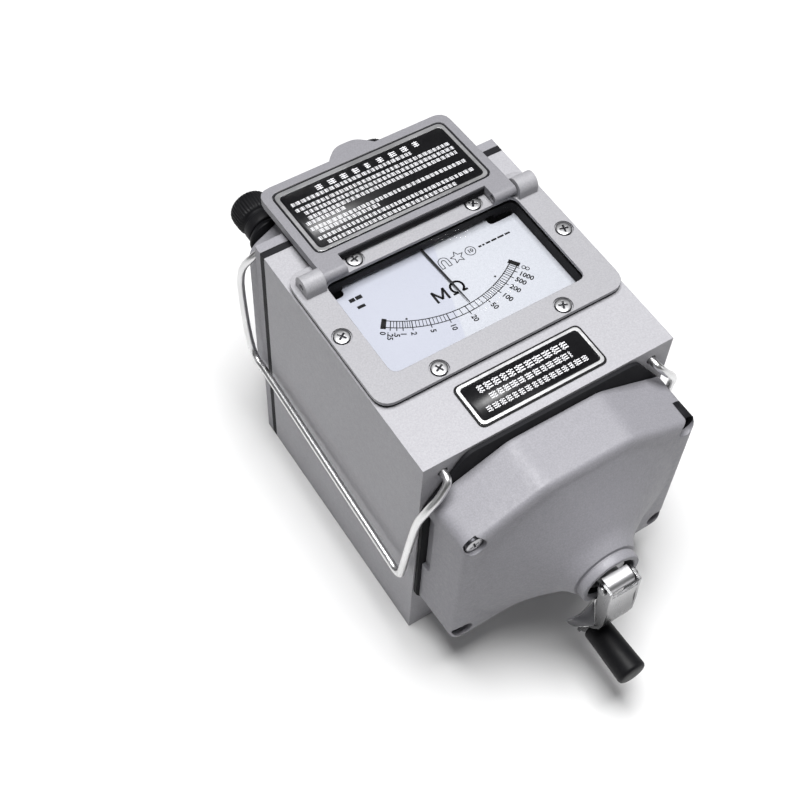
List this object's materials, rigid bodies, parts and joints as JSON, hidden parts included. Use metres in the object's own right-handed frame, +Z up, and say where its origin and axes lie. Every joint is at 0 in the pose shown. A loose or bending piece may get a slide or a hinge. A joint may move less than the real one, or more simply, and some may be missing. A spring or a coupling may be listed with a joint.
{
  "type": "insulation resistance tester",
  "caption": "Hand-cranked insulation resistance tester in a cast metal case with a hinged lid over the dial, folding crank, wire carrying bails and rear terminals.",
  "frame": {"origin": "on the resting surface, under the middle of the case body", "axes": "+Z up, -Y towards the crank, +Y towards the terminals, +X to the right of a reader who faces +Y"},
  "size_m": [0.1332, 0.2451, 0.1463],
  "materials": {
    "paint": "fine grey texture coat",
    "pale_paint": "fine pale grey texture coat",
    "gasket": "matt black",
    "chrome": "bright plated",
    "steel": "bright",
    "brass": "bright",
    "bakelite": "moulded gloss black",
    "glass": "clear",
    "dial": "printed white",
    "label": "printed black plate",
    "magnet": "dark",
    "copper": "enamelled copper windings on an iron core",
    "board": "paper laminate"
  },
  "bodies": {
    "case": {"case_body": "paint", "front_cover": "paint", "rear_cover": "paint", "bezel_plate": "pale_paint", "front_gasket": "gasket", "rear_gasket": "gasket", "bezel_gasket": "gasket", "dial_well": "gasket", "bezel_screw_1": "steel", "bezel_screw_2": "steel", "bezel_screw_3": "steel", "bezel_screw_4": "steel", "bezel_screw_5": "steel", "bezel_screw_6": "steel", "front_cover_screw_1": "steel", "front_cover_screw_2": "steel", "front_cover_screw_3": "steel", "front_cover_screw_4": "steel", "rear_cover_screw_1": "steel", "rear_cover_screw_2": "steel", "rear_cover_screw_3": "steel", "rear_cover_screw_4": "steel", "lid_pin_left": "steel", "lid_pin_right": "steel", "gear_frame": "steel", "generator_end_plate": "steel", "crank_bearing": "brass", "meter_bridge": "brass", "line_stud": "brass", "guard_stud": "brass", "earth_stud": "brass", "brush_holder": "bakelite", "line_insulator": "bakelite", "guard_insulator": "bakelite", "earth_insulator": "bakelite", "window_glass": "glass", "scale_plate": "dial", "name_plate": "label", "generator_stator": "magnet", "meter_magnet": "magnet", "brush_left": "magnet", "brush_right": "magnet", "resistor_board": "board"},
    "lid": {"lid_frame": "pale_paint", "instruction_plate": "label"},
    "bail_left": {"carry_bail_left": "chrome"},
    "bail_right": {"carry_bail_right": "chrome"},
    "drive": {"drive_shaft": "steel", "drive_gear": "brass", "crank_hinge_pin": "steel"},
    "crank": {"crank_arm": "chrome", "handle_spindle": "steel"},
    "handle": {"handle_knob": "bakelite"},
    "idler": {"idler_gear": "brass"},
    "rotor": {"generator_rotor": "copper"},
    "movement": {"moving_coil": "copper", "pointer": "label"},
    "line_nut": {"line_knob": "bakelite"},
    "guard_nut": {"guard_knob": "bakelite"},
    "earth_nut": {"earth_knob": "bakelite"}
  },
  "joints": [
    {"name": "lid_hinge", "type": "hinge", "parent": "case", "child": "lid", "pos_m": [0, 0.0345, 0.1417], "axis": [1, 0, 0], "range_deg": [0, 183.2]},
    {"name": "bail_left_swing", "type": "hinge", "parent": "case", "child": "bail_left", "pos_m": [-0.0505, 0, 0.1275], "axis": [0, 1, 0], "range_deg": [0, 115]},
    {"name": "bail_right_swing", "type": "hinge", "parent": "case", "child": "bail_right", "pos_m": [0.0505, 0, 0.1275], "axis": [0, -1, 0], "range_deg": [0, 115]},
    {"name": "rotor_spin", "type": "hinge", "parent": "case", "child": "rotor", "pos_m": [0, 0, 0.03395], "axis": [0, -1, 0], "continuous": true},
    {"name": "crank_spin", "type": "hinge", "parent": "case", "child": "drive", "pos_m": [0, -0.11, 0.0745], "axis": [0, -1, 0], "continuous": true},
    {"name": "idler_spin", "type": "hinge", "parent": "case", "child": "idler", "pos_m": [-0.02652, -0.045, 0.04798], "axis": [0, -1, 0], "continuous": true},
    {"name": "crank_fold", "type": "hinge", "parent": "drive", "child": "crank", "pos_m": [0, -0.1166, 0.0785], "axis": [-1, 0, 0], "range_deg": [0, 90]},
    {"name": "handle_spin", "type": "hinge", "parent": "crank", "child": "handle", "pos_m": [0, -0.127, 0.0305], "axis": [0, -1, 0], "continuous": true},
    {"name": "pointer_swing", "type": "hinge", "parent": "case", "child": "movement", "pos_m": [0, 0.053, 0.13], "axis": [0, 0, 1], "range_deg": [-42, 36]},
    {"name": "line_nut_turn", "type": "hinge", "parent": "case", "child": "line_nut", "pos_m": [-0.0445, 0.095, 0.1175], "axis": [0, 1, 0], "range_deg": [0, 360]},
    {"name": "guard_nut_turn", "type": "hinge", "parent": "case", "child": "guard_nut", "pos_m": [-0.012, 0.095, 0.113], "axis": [0, 1, 0], "range_deg": [0, 360]},
    {"name": "earth_nut_turn", "type": "hinge", "parent": "case", "child": "earth_nut", "pos_m": [0.017, 0.095, 0.1175], "axis": [0, 1, 0], "range_deg": [0, 360]}
  ],
  "couplings": [
    {"joint": "crank_spin", "follows": "rotor_spin", "ratio": 0.083333},
    {"joint": "idler_spin", "follows": "rotor_spin", "ratio": -0.33333}
  ]
}
